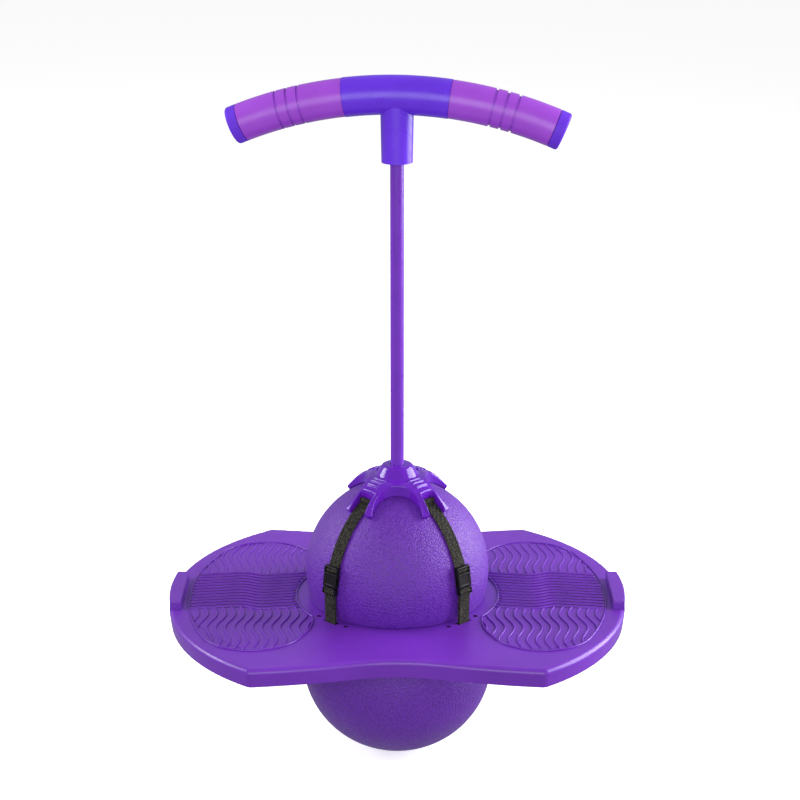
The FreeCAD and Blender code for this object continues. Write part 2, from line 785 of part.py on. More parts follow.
def make_tee():
    """The T piece: the middle of the bar and the stem that takes the pole."""
    body = new_body("handle_tee")
    add_arch(body, "bar", ["tee_radius"], "2 * tee_angle")
    stem = new_sketch(body, "stem")
    low = "stem_low - bar_height + arch_radius"
    draw_loop(stem, [
        ("0", low),
        ("stem_low_radius", low),
        ("stem_high_radius", "arch_radius"),
        ("0", "arch_radius"),
    ])
    add_turned(body, stem, "V_Axis")
    add_arch(body, "core_bore", ["core_radius + core_play"], "2 * tee_angle + 2", cut=True)
    bore = new_sketch(body, "pole_bore", "XY_Plane", low)
    draw_circle(bore, "0", "0", "pole_radius + pole_play")
    add_pad(body, bore, "bar_height - stem_low - core_radius / 2", reverse=True, cut=True)
    body.Placement = handle_place()
    return body


def make_core():
    """The steel tube inside the tee and the grips."""
    body = new_body("handle_core")
    add_arch(body, "tube", ["core_radius", "core_radius - core_wall"], "2 * (grip_angle - seam_angle)")
    body.Placement = handle_place()
    return body


def make_grip(side_name, side):
    body = new_body(f"grip_{side_name}")
    middle = f"{side} * (tee_angle + grip_angle) / 2"
    add_arch(body, "sleeve", ["grip_radius", "core_radius + core_play"],
             "grip_angle - tee_angle - 2 * seam_angle", middle)
    for i in range(3):
        place = f"{side} * (groove_first + {i} * groove_step)"
        add_arch(body, f"groove_{i}", ["grip_radius + 1", "grip_radius - groove_deep"],
                 "2 * groove_half", place, cut=True)
    body.Placement = handle_place()
    return body


def make_cap(side_name, side):
    """The end cap: a disc over the bar's end and a plug into the core tube."""
    body = new_body(f"end_cap_{side_name}")
    add_arch(body, "disc", ["grip_radius"], "cap_angle - grip_angle - seam_angle",
             f"{side} * (cap_angle + grip_angle + seam_angle) / 2")

    def at_outer_edge(edge):
        ends = [v.Point for v in edge.Vertexes]
        turn = val(f"{side} * cap_angle")
        outward = Rotation(Vector(0, 1, 0), turn).multVec(Vector(1, 0, 0))
        return all(abs(p.dot(outward)) < 0.05 for p in ends)

    round_edges(body, "outer_edge", "cap_round", at_outer_edge)
    add_arch(body, "plug", ["core_radius - core_wall - core_play"], "cap_plug_angle + seam_angle",
             f"{side} * (grip_angle + (seam_angle * 2 - cap_plug_angle) / 2)")
    body.Placement = handle_place()
    return body


sub_parts = [make_ball(), make_board(), make_crown(), make_insert(), make_keepers()]
for strap_name, strap_azimuth in STRAP_AZIMUTHS.items():
    sub_parts.append(make_upper_strap(strap_name, strap_azimuth))
    sub_parts.append(make_female(strap_name, strap_azimuth))
    sub_parts.append(make_male(strap_name, strap_azimuth))
    sub_parts.append(make_lower_strap(strap_name, strap_azimuth))
sub_parts += [make_valve_body(), make_valve_plug()]
sub_parts += [make_pole(), make_tee(), make_core()]
for name_of_side, sign in (("left", "-1"), ("right", "1")):
    sub_parts.append(make_grip(name_of_side, sign))
    sub_parts.append(make_cap(name_of_side, sign))

doc.recompute()
faults = [o.Label for o in doc.Objects if {"Invalid", "Error"} & set(o.State)]
for part in sub_parts:
    if part.Shape.isNull() or not part.Shape.isValid():
        faults.append(f"{part.Label} shape")
if faults:
    raise RuntimeError(f"not written, because these failed: {', '.join(faults)}")

os.makedirs("parts", exist_ok=True)
for part in sub_parts:
    part.Shape.exportStep(f"parts/{part.Label}.step")
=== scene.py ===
import json
import math

import bpy
import numpy as np
from mathutils import Matrix, Vector


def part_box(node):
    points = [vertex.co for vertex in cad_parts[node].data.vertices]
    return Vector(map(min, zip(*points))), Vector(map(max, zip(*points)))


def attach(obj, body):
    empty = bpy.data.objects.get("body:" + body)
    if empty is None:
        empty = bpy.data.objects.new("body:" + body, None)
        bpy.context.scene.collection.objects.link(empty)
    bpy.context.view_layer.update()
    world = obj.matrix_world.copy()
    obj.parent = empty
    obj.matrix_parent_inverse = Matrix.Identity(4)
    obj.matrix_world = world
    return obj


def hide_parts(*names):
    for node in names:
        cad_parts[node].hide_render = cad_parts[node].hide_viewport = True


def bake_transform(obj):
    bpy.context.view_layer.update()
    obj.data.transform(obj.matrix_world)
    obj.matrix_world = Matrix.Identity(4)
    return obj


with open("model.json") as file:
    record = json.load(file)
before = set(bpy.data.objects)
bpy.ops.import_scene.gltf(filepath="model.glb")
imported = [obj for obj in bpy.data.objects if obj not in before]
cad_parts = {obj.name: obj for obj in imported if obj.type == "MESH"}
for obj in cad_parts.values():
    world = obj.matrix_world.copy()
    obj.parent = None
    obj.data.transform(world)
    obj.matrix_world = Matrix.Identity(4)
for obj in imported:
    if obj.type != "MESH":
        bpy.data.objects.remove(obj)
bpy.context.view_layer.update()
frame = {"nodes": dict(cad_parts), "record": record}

RECORD = frame["record"]
MOUNTS = {mount["name"]: mount for mount in RECORD["mounts"]}

# Lengths are in metres. Where it can be, what part.py fixes is read from the frame; the other
# sizes of the object repeat its numbers.
MM = 0.001
PAD_TOP = MOUNTS["foot_pad_right"]["pos_m"][2]
PAD_HIGH = 0.4 * MM
BOARD_TOP = PAD_TOP - PAD_HIGH
BOARD_LOW, BOARD_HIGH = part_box("board")
BALL_LOW, BALL_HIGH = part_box("ball")
SLOTS_END = 118 * MM
BAND_LOW, BAND_HIGH = -38 * MM, 55 * MM
STRAP_TURNS = {"front_right": -47, "back_right": 47, "back_left": 133, "front_left": -133}


# ---------------------------------------------------------------- materials

def linear(red, green, blue):
    """An sRGB colour, each channel 0 to 255, as the linear colour that a shader takes."""
    def channel(value):
        value /= 255
        return value / 12.92 if value <= 0.04045 else ((value + 0.055) / 1.055) ** 2.4
    return (channel(red), channel(green), channel(blue), 1.0)


def shade(colour, factor):
    return tuple(min(1.0, channel * factor) for channel in colour[:3]) + (1.0,)


class Material:
    """A node material round one Principled shader, with short calls for the usual nodes."""

    def __init__(self, name, roughness=0.5, coat=0.0, specular=0.35, sheen=0.0, metallic=0.0):
        self.material = bpy.data.materials.new(name)
        self.material.use_nodes = True
        self.tree = self.material.node_tree
        self.shader = self.tree.nodes["Principled BSDF"]
        self.set("Roughness", roughness)
        self.set("Coat Weight", coat)
        self.set("Coat Roughness", 0.1)
        self.set("Specular IOR Level", specular)
        self.set("Sheen Weight", sheen)
        self.set("Metallic", metallic)
        self.place = self.node("ShaderNodeTexCoord").outputs["Object"]

    def set(self, socket, value):
        self.shader.inputs[socket].default_value = value

    def node(self, kind, **inputs):
        made = self.tree.nodes.new(kind)
        for name, value in inputs.items():
            self.feed(made.inputs[name.replace("_", " ")], value)
        return made

    def feed(self, socket, value):
        if isinstance(value, bpy.types.NodeSocket):
            self.tree.links.new(value, socket)
        else:
            socket.default_value = value

    def noise(self, scale, detail=2.0, roughness=0.5, place=None):
        return self.node("ShaderNodeTexNoise", Vector=place or self.place, Scale=scale,
                         Detail=detail, Roughness=roughness).outputs["Fac"]

    def cells(self, scale, feature="F1", place=None):
        made = self.node("ShaderNodeTexVoronoi", Vector=place or self.place, Scale=scale)
        made.feature = feature
        return made.outputs["Distance"]

    def ramp(self, factor, stops):
        """stops: (position, colour or grey) from low to high."""
        made = self.node("ShaderNodeValToRGB", Fac=factor)
        elements = made.color_ramp.elements
        while len(elements) < len(stops):
            elements.new(0.5)
        for element, (position, value) in zip(elements, stops):
            element.position = position
            element.color = value if isinstance(value, tuple) else (value, value, value, 1.0)
        return made.outputs["Color"]

    def math(self, operation, first, second=0.0):
        made = self.node("ShaderNodeMath")
        made.operation = operation
        self.feed(made.inputs[0], first)
        self.feed(made.inputs[1], second)
        return made.outputs[0]

    def mix(self, factor, first, second):
        made = self.node("ShaderNodeMix")
        made.data_type = "RGBA"
        self.feed(made.inputs[0], factor)
        self.feed(made.inputs[6], first)
        self.feed(made.inputs[7], second)
        return made.outputs[2]

    def bump(self, height, distance, strength=1.0):
        """Adds a bump, in metres, on top of the bumps added before."""
        made = self.node("ShaderNodeBump", Height=height, Strength=strength, Distance=distance)
        normal = self.shader.inputs["Normal"]
        if normal.is_linked:
            self.tree.links.new(normal.links[0].from_socket, made.inputs["Normal"])
        self.tree.links.new(made.outputs["Normal"], normal)

    def colour(self, value):
        self.feed(self.shader.inputs["Base Color"], value)

    def roughness(self, value):
        self.feed(self.shader.inputs["Roughness"], value)


def mottled(material, colour, scale, spread=0.1):
    """The colour with the faint light and dark clouds of moulded plastic."""
    clouds = material.noise(scale, detail=3.0, roughness=0.6)
    stops = [(0.3, shade(colour, 1 - spread)), (0.7, shade(colour, 1 + spread))]
    material.colour(material.ramp(clouds, stops))
    return clouds


def moulded(name, colour, rough, coat=0.0, grain=1400.0, grain_height=0.02 * MM, spread=0.07,
            specular=0.35):
    """Moulded plastic: clouds of colour, a fine grain, and roughness that wanders a little."""
    made = Material(name, rough, coat, specular)
    mottled(made, colour, 18.0, spread)
    made.roughness(made.ramp(made.noise(60.0, 4.0), [(0.3, rough * 0.85), (0.7, rough * 1.15)]))
    made.bump(made.noise(grain, 2.0), grain_height)
    return made.material


PURPLE_BOARD = linear(104, 41, 170)
PURPLE_BALL = linear(102, 36, 172)
PURPLE_CROWN = linear(94, 24, 170)
PURPLE_POLE = linear(108, 46, 178)
VIOLET_TEE = linear(102, 46, 222)
MAGENTA_GRIP = linear(156, 70, 208)
VIOLET_CAP = linear(104, 54, 214)
BLACK_WEB = linear(27, 26, 25)
BLACK_BUCKLE = linear(17, 14, 19)
STEEL = linear(185, 186, 190)


def pebbled():
    """Soft PVC with a leather-like pebble grain and a little bloom; the valleys between the pebbles are
    darkened with painted shade.
    """
    made = Material("pebbled_pvc", 0.5, specular=0.42, sheen=0.02)
    bloom = made.noise(9.0, 4.0, 0.6)
    cloudy = made.ramp(bloom, [(0.3, shade(PURPLE_BALL, 0.93)), (0.72, shade(PURPLE_BALL, 1.08))])
    pebbles = made.cells(500.0)
    # Painted shade: the valleys between the pebbles, low in the bump below, are mixed towards half the
    # ball's colour.
    valley_shade = made.ramp(pebbles, [(0.3, 0.0), (0.75, 0.6)])
    made.colour(made.mix(valley_shade, cloudy, shade(PURPLE_BALL, 0.5)))
    made.roughness(made.ramp(made.noise(35.0, 3.0), [(0.3, 0.38), (0.7, 0.50)]))
    made.bump(made.ramp(pebbles, [(0.0, 1.0), (0.55, 0.3), (1.0, 0.0)]), 0.62 * MM)
    made.bump(made.noise(760.0, 3.0, 0.6), 0.38 * MM)
    return made.material


def webbing():
    """Woven polypropylene: a twill of pale and dark yarns along the strap's own two directions."""
    made = Material("webbing", 0.8, specular=0.12, sheen=0.03)
    way = made.node("ShaderNodeUVMap").outputs["UV"]
    split = made.node("ShaderNodeSeparateXYZ", Vector=way)
    along = made.math("MULTIPLY", split.outputs["X"], 1 / (2.6 * MM))
    across = made.math("MULTIPLY", split.outputs["Y"], 1 / (2.0 * MM))
    twill = made.math("SINE", made.math("MULTIPLY", made.math("ADD", along, across), math.tau))
    yarn = made.math("SINE", made.math("MULTIPLY", across, math.tau))
    weave = made.math("ADD", made.math("MULTIPLY", twill, 0.5), 0.5)
    flecks = made.noise(620.0, 2.0, 0.7)
    lit = made.math("ADD", made.math("MULTIPLY", weave, 0.45), made.math("MULTIPLY", flecks, 0.8))
    made.colour(made.ramp(lit, [(0.5, linear(4, 4, 4)), (0.72, BLACK_WEB), (0.92, linear(104, 100, 90))]))
    made.bump(weave, 0.35 * MM)
    made.bump(yarn, 0.15 * MM)
    return made.material


def board_plastic():
    """Moulded plastic, with shade painted in by place: in the slots, the peg holes, the seam round
    the ball and the grooves of the pads' middle band."""
    made = Material("board_plastic", 0.34, specular=0.45)
    clouds = made.noise(18.0, 3.0, 0.6)
    plain = made.ramp(clouds, [(0.3, shade(PURPLE_BOARD, 0.93)), (0.7, shade(PURPLE_BOARD, 1.07))])
    split = made.node("ShaderNodeSeparateXYZ", Vector=made.place)
    across, ahead, height = (split.outputs[axis] for axis in "XYZ")
    squares = (made.math("POWER", axis, 2.0) for axis in (across, ahead))
    out = made.math("SQRT", made.math("ADD", *squares))
    inside = made.math("LESS_THAN", out, SLOTS_END)
    sunk = made.math("LESS_THAN", height, BOARD_TOP - 0.3 * MM)
    above = made.math("GREATER_THAN", height, BOARD_TOP - 3.9 * MM)
    hidden = made.math("MULTIPLY", made.math("MULTIPLY", inside, sunk), above)
    middle = made.math("ABSOLUTE", made.math("SUBTRACT", ahead, (BAND_LOW + BAND_HIGH) / 2))
    in_band = made.math("LESS_THAN", middle, (BAND_HIGH - BAND_LOW) / 2 + 2 * MM)
    on_pad = made.math("GREATER_THAN", height, BOARD_TOP + 0.1 * MM)
    below_ridges = made.math("LESS_THAN", height, PAD_TOP + 0.3 * MM)
    grooves = made.math("MULTIPLY", made.math("MULTIPLY", in_band, on_pad), below_ridges)
    shaded = made.mix(grooves, plain, shade(PURPLE_BOARD, 0.6))
    made.colour(made.mix(hidden, shaded, shade(PURPLE_BOARD, 0.12)))
    made.roughness(made.ramp(made.noise(60.0, 4.0), [(0.3, 0.30), (0.7, 0.38)]))
    made.bump(made.noise(1800.0, 2.0), 0.012 * MM)
    return made.material


def steel():
    made = Material("zinc_plated_steel", 0.32, metallic=1.0)
    mottled(made, STEEL, 40.0, 0.08)
    made.roughness(made.ramp(made.noise(220.0, 4.0), [(0.3, 0.24), (0.7, 0.42)]))
    made.bump(made.noise(900.0, 2.0), 0.01 * MM)
    return made.material


MATERIALS = {
    "ball_skin": pebbled(),
    "board": board_plastic(),
    "crown": moulded("crown_plastic", PURPLE_CROWN, 0.16, coat=0.2, grain=700.0, grain_height=0.006 * MM,
                     specular=0.3),
    "pole": moulded("powder_coat", PURPLE_POLE, 0.30, grain=1600.0, grain_height=0.02 * MM),
    "tee": moulded("tee_plastic", VIOLET_TEE, 0.3, grain=1500.0, grain_height=0.008 * MM, specular=0.4),
    "grip": moulded("grip_rubber", MAGENTA_GRIP, 0.34, grain=2600.0, grain_height=0.01 * MM,
                    specular=0.45),
    "end_cap": moulded("cap_plastic", VIOLET_CAP, 0.5, grain=1500.0, specular=0.1),
    "webbing": webbing(),
    "buckle": moulded("acetal", BLACK_BUCKLE, 0.38, grain=2200.0, grain_height=0.02 * MM, specular=0.18),
    "steel": steel(),
    "valve_rubber": moulded("valve_rubber", linear(44, 22, 78), 0.55, grain=1800.0),
}


def dress(piece, slot):
    """Gives a piece one of the materials, in place of what it had."""
    piece.data.materials.clear()
    piece.data.materials.append(MATERIALS[slot])
    return piece


for part in RECORD["subparts"]:
    carried = frame["nodes"][part["node"]]
    carried.data.materials.clear()
    carried.data.materials.append(MATERIALS[part["material_slot"]])


# ---------------------------------------------------------------- mesh helpers

def new_piece(name, vertices, faces, slot):
    mesh = bpy.data.meshes.new(name)
    mesh.from_pydata([tuple(v) for v in vertices], [], [tuple(f) for f in faces])
    mesh.validate()
    piece = bpy.data.objects.new(name, mesh)
    bpy.context.collection.objects.link(piece)
    mesh.shade_smooth()
    return dress(piece, slot)


def grid_faces(rows, columns, closed_rows=False, closed_columns=False):
    """Quads over a grid of vertices stored row by row."""
    faces = []
    for row in range(rows if closed_rows else rows - 1):
        for column in range(columns if closed_columns else columns - 1):
            below = row * columns
            above = (row + 1) % rows * columns
            following = (column + 1) % columns
            faces.append((below + column, below + following, above + following, above + column))
    return faces


def smooth_min(a, b, blend):
    mixed = np.clip(0.5 + 0.5 * (b - a) / blend, 0, 1)
    return b * (1 - mixed) + a * mixed - blend * mixed * (1 - mixed)


def smooth_max(a, b, blend):
    return -smooth_min(-a, -b, blend)


# ---------------------------------------------------------------- the ball

UPPER_LOBE = 99.5 * MM
UPPER_CENTRE = BALL_HIGH.z - UPPER_LOBE
LOWER_WIDE, LOWER_TALL = 104.5 * MM, 101.5 * MM
LOWER_CENTRE = LOWER_TALL - 0.4 * MM
WAIST = 91.3 * MM
LIP_ROUND = 2 * MM


def ball_radius(height):
    """The skin's radius at each height: two lobes, joined by the waist that the board grips."""
    lower = LOWER_WIDE * np.sqrt(np.clip(1 - ((height - LOWER_CENTRE) / LOWER_TALL) ** 2, 0, None))
    upper = np.sqrt(np.clip(UPPER_LOBE**2 - (height - UPPER_CENTRE) ** 2, 0, None))
    near_waist = np.abs(height - BOARD_LOW.z) < 30 * MM
    bulb = np.maximum(lower, upper)
    filled = smooth_max(bulb, np.full_like(bulb, WAIST), 3 * MM)
    bulb = np.where(near_waist, filled, bulb)
    over_lip = np.clip(height - (BOARD_TOP - LIP_ROUND), 0, None)
    lip = WAIST + over_lip**2 / LIP_ROUND
    return np.where(near_waist, smooth_min(bulb, lip, 1 * MM), bulb)


def make_ball():
    rows, columns = 250, 280
    share = np.linspace(0, 1, rows)
    heights = BALL_HIGH.z * (1 - np.cos(np.pi * share)) / 2
    radii = ball_radius(heights)
    turns = np.linspace(0, 2 * np.pi, columns, endpoint=False)
    rings = zip(radii[:-1], heights[:-1])
    vertices = [(r * math.cos(a), r * math.sin(a), z) for r, z in rings for a in turns]
    faces = grid_faces(rows - 1, columns, closed_columns=True)
    foot, top = len(vertices), len(vertices) + 1
    vertices += [(0, 0, 0), (0, 0, BALL_HIGH.z)]
    last = (rows - 2) * columns
    for column in range(columns):
        following = (column + 1) % columns
        faces.append((foot, following, column))
        faces.append((top, last + column, last + following))
    piece = new_piece("ball_skin", vertices, faces, "ball_skin")
    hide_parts("ball")
    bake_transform(piece)


# ---------------------------------------------------------------- straps

STRAP_WIDE = 15 * MM
STRAP_THICK = 1.2 * MM
LOOP_RADIUS = 1.9 * MM
BUCKLE_ANGLE = math.radians(81)


def on_buckle(over, along):
    """(outward, height) of a point given in the buckle's frame, as part.py places it."""
    stand = UPPER_LOBE + 0.5 * MM + over
    return np.array([stand * math.sin(BUCKLE_ANGLE) - along * math.cos(BUCKLE_ANGLE),
                     UPPER_CENTRE + stand * math.cos(BUCKLE_ANGLE) + along * math.sin(BUCKLE_ANGLE)])


def on_lobe(radius, angle):
    return np.array([radius * math.sin(angle), UPPER_CENTRE + radius * math.cos(angle)])


def loop_points(centre, heading, first, last, steps=24):
    """Points round a bar: at turn 0 the strap passes on the ball's side, along heading."""
    inward = np.array([-heading[1], heading[0]])
    inward *= -1 if inward @ (centre - np.array([0, UPPER_CENTRE])) > 0 else 1
    turns = np.radians(np.linspace(first, last, steps))
    return [centre + LOOP_RADIUS * (inward * math.cos(t) + heading * math.sin(t)) for t in turns]


def spaced(points, step, closed=False):
    """The path through the points, resampled at an even spacing, with its lengths."""
    points = np.array(points)
    if closed:
        points = np.vstack([points, points[:1]])
    run = np.concatenate([[0], np.cumsum(np.linalg.norm(np.diff(points, axis=0), axis=1))])
    count = int(run[-1] / step)
    at = np.linspace(0, run[-1], count, endpoint=not closed)
    return np.column_stack([np.interp(at, run, points[:, i]) for i in (0, 1)]), at


def strap_piece(name, points, turn, closed=False):
    """A woven band along a path in the strap's upright plane, turned to its azimuth."""
    path, run = spaced(points, 0.42 * MM, closed)
    ahead = np.roll(path, -1, axis=0) - np.roll(path, 1, axis=0)
    if not closed:
        ahead[0], ahead[-1] = path[1] - path[0], path[-1] - path[-2]
    ahead /= np.linalg.norm(ahead, axis=1)[:, None]
    normal = np.column_stack([-ahead[:, 1], ahead[:, 0]])
    half, edge = STRAP_WIDE / 2, STRAP_THICK / 2
    flat = np.linspace(-half + edge, half - edge, 32)
    bend = np.radians([-60, -30, 0, 30, 60])
    ring = [(w, edge, w) for w in flat]
    ring += [(half - edge + edge * math.cos(b), -edge * math.sin(b), half) for b in bend]
    ring += [(w, -edge, w) for w in flat[::-1]]
    ring += [(-half + edge - edge * math.cos(b), edge * math.sin(b), -half) for b in bend]
    spin = Matrix.Rotation(math.radians(turn), 3, "Z")
    vertices, places = [], []
    for spot, out, length in zip(path, normal, run):
        for across, over, mark in ring:
            yarn = 0.11 * MM * math.sin(math.tau * (length / (2.1 * MM) + abs(mark) / (2.4 * MM)))
            yarn += 0.05 * MM * math.sin(math.tau * mark / (1.2 * MM))
            lifted = over + math.copysign(yarn, over) * (abs(over) >= edge * 0.99)
            place = spot + out * lifted
            vertices.append(spin @ Vector((place[0], across, place[1])))
            places.append((length, mark))
    columns = len(ring)
    faces = grid_faces(len(path), columns, closed_rows=closed, closed_columns=True)
    if not closed:
        faces.append(tuple(range(columns))[::-1])
        faces.append(tuple((len(path) - 1) * columns + c for c in range(columns)))
    piece = new_piece(name, vertices, faces, "webbing")
    layer = piece.data.uv_layers.new(name="along")
    for corner in piece.data.loops:
        layer.data[corner.index].uv = places[corner.vertex_index]
    return piece


def make_upper_strap(place_name, turn):
    top, band = math.radians(28), UPPER_LOBE + 0.7 * MM + STRAP_THICK / 2
    bar = on_lobe(band + LOOP_RADIUS, top)
    low_bar = on_buckle(FEMALE_BAR_OVER, FEMALE_BAR)
    low = math.atan2(low_bar[0], low_bar[1] - UPPER_CENTRE)
    rise = np.linalg.norm(low_bar - np.array([0, UPPER_CENTRE])) - LOOP_RADIUS - band
    down = [np.array([math.cos(a), -math.sin(a)]) for a in (top, low)]
    points = loop_points(bar, down[0], -285, 0)
    for share in np.linspace(0.02, 0.98, 60):
        eased = max(0.0, (share - 0.8) / 0.2)
        points.append(on_lobe(band + rise * eased**2 * (3 - 2 * eased), top + (low - top) * share))
    points += loop_points(low_bar, down[1], 0, 285)
    piece = strap_piece(f"webbing_upper_{place_name}", points, turn)
    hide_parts(f"upper_strap_{place_name}")
    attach(piece, "deck")


PLY = 0.72 * MM
PLY_FLARE = 2.5 * MM


def make_lower_strap(place_name, turn):
    upper = on_buckle(MALE_BAR_OVER, MALE_BAR)
    lower = np.array([102.8 * MM, BOARD_TOP - 4 * MM - BUCKLE_BAR])
    length = np.linalg.norm(upper - lower)
    up = (upper - lower) / length
    side = np.array([up[1], -up[0]])

    def ply(share, sign):
        near = min(share, 1 - share) * length
        spread = PLY + (LOOP_RADIUS - PLY) * math.exp(-near / PLY_FLARE)
        return lower + up * length * share + side * sign * spread

    around = np.radians(np.linspace(0, 180, 14))
    points = [lower + LOOP_RADIUS * (-side * math.cos(t) - up * math.sin(t)) for t in around]
    points += [ply(share, 1) for share in np.linspace(0.05, 0.95, 24)]
    points += [upper + LOOP_RADIUS * (side * math.cos(t) + up * math.sin(t)) for t in around]
    points += [ply(share, -1) for share in np.linspace(0.95, 0.05, 24)]
    piece = strap_piece(f"webbing_lower_{place_name}", points, turn, closed=True)
    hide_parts(f"lower_strap_{place_name}")
    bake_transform(piece)


# ---------------------------------------------------------------- moulded shapes from distance fields

def polygonise(shape, low, high, step):
    """The surface where shape(x, y, z) is zero, as vertices and quads. shape is negative inside and
    its zero stays inside the box. Each vertex is then drawn onto the surface."""
    axes = [np.arange(a, b + step, step) for a, b in zip(low, high)]
    field = shape(*np.meshgrid(*axes, indexing="ij"))
    cells = tuple(n - 1 for n in field.shape)
    total, count = np.zeros(cells + (3,)), np.zeros(cells)
    crossings = []
    for axis in range(3):
        near = np.take(field, range(field.shape[axis] - 1), axis)
        far = np.take(field, range(1, field.shape[axis]), axis)
        corner = np.argwhere((near < 0) != (far < 0))
        a, b = near[tuple(corner.T)], far[tuple(corner.T)]
        place = corner.astype(float)
        place[:, axis] += a / (a - b)
        second, third = (axis + 1) % 3, (axis + 2) % 3
        ring = []
        for back_second, back_third in ((0, 0), (1, 0), (1, 1), (0, 1)):
            cell = corner.copy()
            cell[:, second] -= back_second
            cell[:, third] -= back_third
            ring.append(np.ravel_multi_index(tuple(cell.T), cells))
            np.add.at(total, tuple(cell.T), place)
            np.add.at(count, tuple(cell.T), 1)
        ring = np.array(ring).T
        ring[a > b] = ring[a > b][:, ::-1]
        crossings.append(ring[:, ::-1])
    used = np.flatnonzero(count.ravel())
    number = np.full(count.size, -1)
    number[used] = np.arange(len(used))
    vertices = total.reshape(-1, 3)[used] / count.ravel()[used][:, None] * step + np.array(low)
    for _ in range(2):
        value = shape(*vertices.T)
        tiny = step * 0.05
        slope = np.array([shape(*(vertices + tiny * way).T) - value for way in np.eye(3)]).T / tiny
        move = value / np.maximum((slope**2).sum(axis=1), 0.2)
        vertices -= np.clip(slope * move[:, None], -0.4 * step, 0.4 * step)
    return vertices, number[np.vstack(crossings)]


def box_distance(*reaches):
    """Distance to a box from how far a point is beyond each pair of its sides."""
    outside = sum(np.maximum(reach, 0) ** 2 for reach in reaches)
    return np.sqrt(outside) + np.minimum(np.maximum.reduce(np.broadcast_arrays(*reaches)), 0)


# ---------------------------------------------------------------- the crown

LEG_TURN = math.radians(STRAP_TURNS["back_right"])
TIP_ANGLE = math.radians(38.6)
NECK_TOP = 329.3 * MM
NECK_RADIUS = 16 * MM
NECK_FOOT, NECK_FOOT_HEIGHT = 23 * MM, 317.6 * MM
FRONT_ARCH, FRONT_ARCH_CENTRE = 26.5 * MM, 59.3 * MM
SIDE_ARCH, SIDE_ARCH_CENTRE = 36 * MM, 67 * MM
SLOT_START = 45.5 * MM
CROWN_BAR_ANGLE = math.radians(28)
CROWN_BAR = 1.2 * MM
CROWN_GAP = 0.5 * MM
STEP_RIBS = (26.5 * MM, 32 * MM, 37.5 * MM)
CROWN_STEP = 0.55 * MM


def crown_shape(x, y, z):
    """Distance to the crown: a cap over the ball cut into four forked legs, and the conical neck."""
    across, ahead = np.abs(x), np.abs(y)
    along = across * math.cos(LEG_TURN) + ahead * math.sin(LEG_TURN)
    aside = ahead * math.cos(LEG_TURN) - across * math.sin(LEG_TURN)
    out = np.hypot(x, y)
    rise = z - UPPER_CENTRE
    reach = np.sqrt(out**2 + rise**2)
    lean = np.arctan2(out, rise)
    thick = (12.6 * MM - (lean - math.radians(17.6)) * 20.5 * MM)
    cap = reach - UPPER_LOBE - thick
    flat = z - (NECK_FOOT_HEIGHT + 0.3 * MM - 0.04 * (out - NECK_FOOT))
    top = smooth_max(cap, flat, 3 * MM)
    arches = np.maximum(FRONT_ARCH - np.hypot(across, ahead - FRONT_ARCH_CENTRE),
                        SIDE_ARCH - np.hypot(across - SIDE_ARCH_CENTRE, ahead))
    leg = smooth_max(top, arches, 1.2 * MM)
    leg = smooth_max(leg, (lean - TIP_ANGLE) * reach, 1.0 * MM)

    widen = np.clip(along - SLOT_START, 0, None)
    front_edge, side_edge = 8.3 * MM + 0.21 * widen, 8.2 * MM + 0.02 * widen
    slot = smooth_max(np.maximum(aside - front_edge, -aside - side_edge), SLOT_START - along, 2.5 * MM)
    lip = np.hypot(slot - 1.0 * MM, top - 0.25 * MM) - 1.1 * MM
    lip = np.maximum(lip, (lean - TIP_ANGLE) * reach + 1.2 * MM)
    leg = smooth_min(leg, lip, 0.6 * MM)
    for place in STEP_RIBS:
        rib = np.maximum(np.abs(aside) - 7.6 * MM, np.hypot(along - place, top - 0.3 * MM) - 1.3 * MM)
        leg = smooth_min(leg, rib, 0.5 * MM)
    leg = smooth_max(leg, -slot, 0.6 * MM)

    slant = (NECK_FOOT - NECK_RADIUS) / (NECK_TOP - NECK_FOOT_HEIGHT)
    cone = (out - NECK_RADIUS - (NECK_TOP - z) * slant) / math.hypot(1, slant)
    dome = z - NECK_TOP - 0.6 * MM * (1 - (out / NECK_RADIUS) ** 2)
    neck = smooth_max(cone, dome, 2.2 * MM)
    whole = smooth_min(leg, neck, 1.6 * MM)
    bar_out, bar_height = on_lobe(UPPER_LOBE + 0.7 * MM + LOOP_RADIUS + STRAP_THICK / 2, CROWN_BAR_ANGLE)
    bar = np.maximum(np.hypot(along - bar_out, z - bar_height) - CROWN_BAR, np.abs(aside) - 9.5 * MM)
    whole = np.minimum(whole, bar)
    whole = smooth_max(whole, UPPER_LOBE + CROWN_GAP - reach, 0.6 * MM)
    insert_low, insert_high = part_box("threaded_insert")
    socket = np.maximum(out - insert_high.x, np.abs(z - (insert_low.z + insert_high.z) / 2)
                        - (insert_high.z - insert_low.z) / 2)
    bore = np.maximum(out - (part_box("pole")[1].x + 0.3 * MM), insert_low.z - z)
    return np.maximum(smooth_max(whole, -bore, 0.8 * MM), -socket)


def make_crown():
    low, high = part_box("crown")
    margin = 6 * MM
    corner_low, corner_high = [c - margin for c in low], [c + margin for c in high]
    vertices, faces = polygonise(crown_shape, corner_low, corner_high, CROWN_STEP)
    piece = new_piece("crown_shell", vertices, faces, "crown")
    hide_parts("crown")
    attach(piece, "deck")


# ---------------------------------------------------------------- the buckles

BUCKLE_THICK = 6.5 * MM
BUCKLE_WINDOW = 7.8 * MM
WINDOW_HALF = 2.7 * MM
BUCKLE_BAR = 1.2 * MM
SKIN = 1.3 * MM
FEMALE_HALF_WIDE, MALE_HALF_WIDE = 9.3 * MM, 8.9 * MM
ARM_TIP = 4.2 * MM
FEMALE_LOW, FEMALE_HIGH, FEMALE_BAR, FEMALE_BAR_OVER = -7.5 * MM, 15.5 * MM, 10.8 * MM, 3 * MM
MALE_LOW, MALE_HIGH, MALE_BAR, MALE_BAR_OVER = -15.5 * MM, -7.9 * MM, -11.9 * MM, 3.2 * MM


